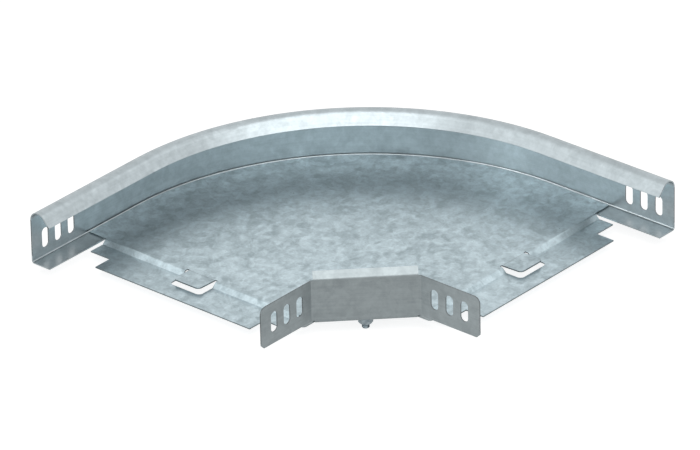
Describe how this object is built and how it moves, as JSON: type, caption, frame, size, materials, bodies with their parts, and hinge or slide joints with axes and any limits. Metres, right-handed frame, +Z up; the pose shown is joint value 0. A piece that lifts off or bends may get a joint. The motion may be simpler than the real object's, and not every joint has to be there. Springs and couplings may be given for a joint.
{
  "type": "cable tray bend",
  "caption": "Horizontal 90 degree cable tray bend in galvanised sheet: floor plate with snap-in tongues, curved rail with a rolled rim, bolted corner bracket.",
  "frame": {"origin": "middle of the bounding box at the level of the bolt's tip, the lowest point of the part", "axes": "+Z up out of the tray, -Y out of the left tray end, +X out of the right tray end; the bend is symmetric about the vertical plane between them"},
  "size_m": [0.455, 0.455, 0.0725],
  "materials": {
    "rail_zinc": "hot-dip galvanised sheet with a fine spangle, satin",
    "floor_zinc": "hot-dip galvanised sheet with a fine spangle, satin",
    "bracket_zinc": "hot-dip galvanised sheet with a fine spangle, satin",
    "plated_steel": "zinc-plated steel, satin"
  },
  "bodies": {
    "root": {"outer_rail": "rail_zinc", "floor_plate": "floor_zinc", "corner_bracket": "bracket_zinc", "bolt": "plated_steel", "nut": "plated_steel"}
  },
  "joints": []
}
